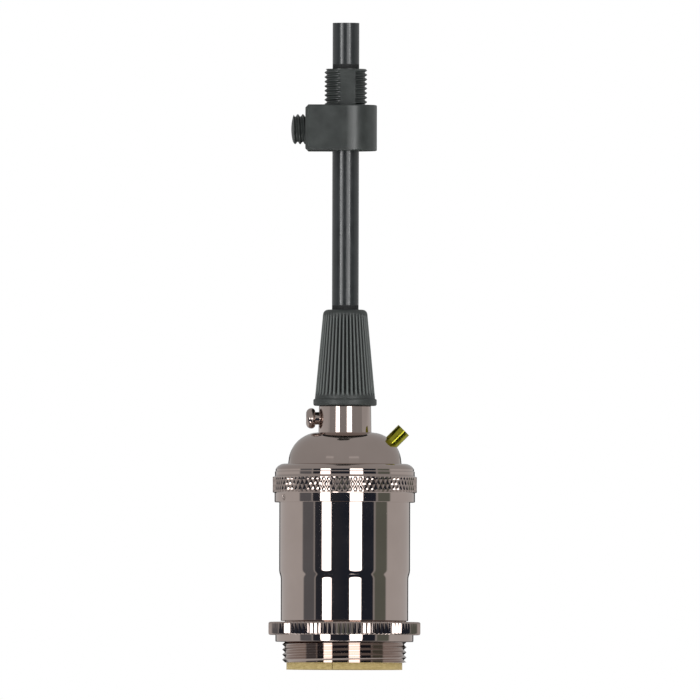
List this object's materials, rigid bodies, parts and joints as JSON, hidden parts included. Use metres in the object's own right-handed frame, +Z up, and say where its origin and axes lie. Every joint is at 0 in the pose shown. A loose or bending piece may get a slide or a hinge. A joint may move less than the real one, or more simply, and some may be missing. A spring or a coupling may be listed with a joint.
{
  "type": "lamp holder",
  "caption": "Metal pendant lamp holder with domed cap, threaded shell and shade ring, on a black cord with strain relief and cord grip.",
  "frame": {"origin": "on the cord's axis, at the shoulder below the cord grip's threaded spigot", "axes": "+Z up along the cord; both set screws face -X and the dome's guide tube faces +X"},
  "size_m": [0.0446, 0.0446, 0.1898],
  "materials": {
    "black_nylon": "satin moulded black nylon",
    "cord_jacket": "smooth extruded black PVC with a soft sheen",
    "ribbed_rubber": "matte moulded rubber",
    "black_nickel": "polished pearl-black nickel plating on brass",
    "olive_brass": "lacquered olive-yellow brass tube",
    "tan_fibre": "rolled vulcanised fibre, matte",
    "porcelain": "unglazed pressed porcelain",
    "rolled_brass": "bright rolled brass",
    "plated_steel": "zinc-plated steel",
    "brown_insulation": "brown PVC insulation",
    "blue_insulation": "blue PVC insulation",
    "green_insulation": "green and yellow PVC insulation",
    "copper": "bare stranded copper"
  },
  "bodies": {
    "cord_grip": {"cord_grip_body": "black_nylon"},
    "grip_screw": {"cord_grip_screw": "black_nylon"},
    "holder": {"cord": "cord_jacket", "cord_tail": "cord_jacket", "strain_relief": "ribbed_rubber", "cap": "black_nickel", "guide_tube": "olive_brass", "outer_shell": "black_nickel", "insulating_liner": "tan_fibre", "insert_body": "porcelain", "screw_shell": "rolled_brass", "shell_screws": "plated_steel", "contact_spring": "plated_steel", "line_terminal": "rolled_brass", "neutral_terminal": "rolled_brass", "line_terminal_screw": "plated_steel", "neutral_terminal_screw": "plated_steel", "earth_strip": "rolled_brass", "earth_terminal_screw": "plated_steel", "line_core": "brown_insulation", "neutral_core": "blue_insulation", "earth_core": "green_insulation", "line_conductor": "copper", "neutral_conductor": "copper", "earth_conductor": "copper"},
    "ring": {"shade_ring": "black_nickel"},
    "neck_screw": {"cap_screw": "black_nickel"},
    "contact": {"centre_contact": "rolled_brass"}
  },
  "joints": [
    {"name": "cord_feed", "type": "slide", "parent": "cord_grip", "child": "holder", "axis": [0, 0, 1], "range_m": [-0.0125, 0.046]},
    {"name": "grip_screw_travel", "type": "slide", "parent": "cord_grip", "child": "grip_screw", "axis": [-1, 0, 0], "range_m": [0, 0.006]},
    {"name": "ring_travel", "type": "slide", "parent": "holder", "child": "ring", "axis": [0, 0, -1], "range_m": [0, 0.006]},
    {"name": "neck_screw_travel", "type": "slide", "parent": "holder", "child": "neck_screw", "axis": [-1, 0, 0], "range_m": [0, 0.002]},
    {"name": "contact_press", "type": "slide", "parent": "holder", "child": "contact", "axis": [0, 0, 1], "range_m": [0, 0.002], "stiffness_N_per_m": 600, "deforming": ["contact_spring"]}
  ]
}
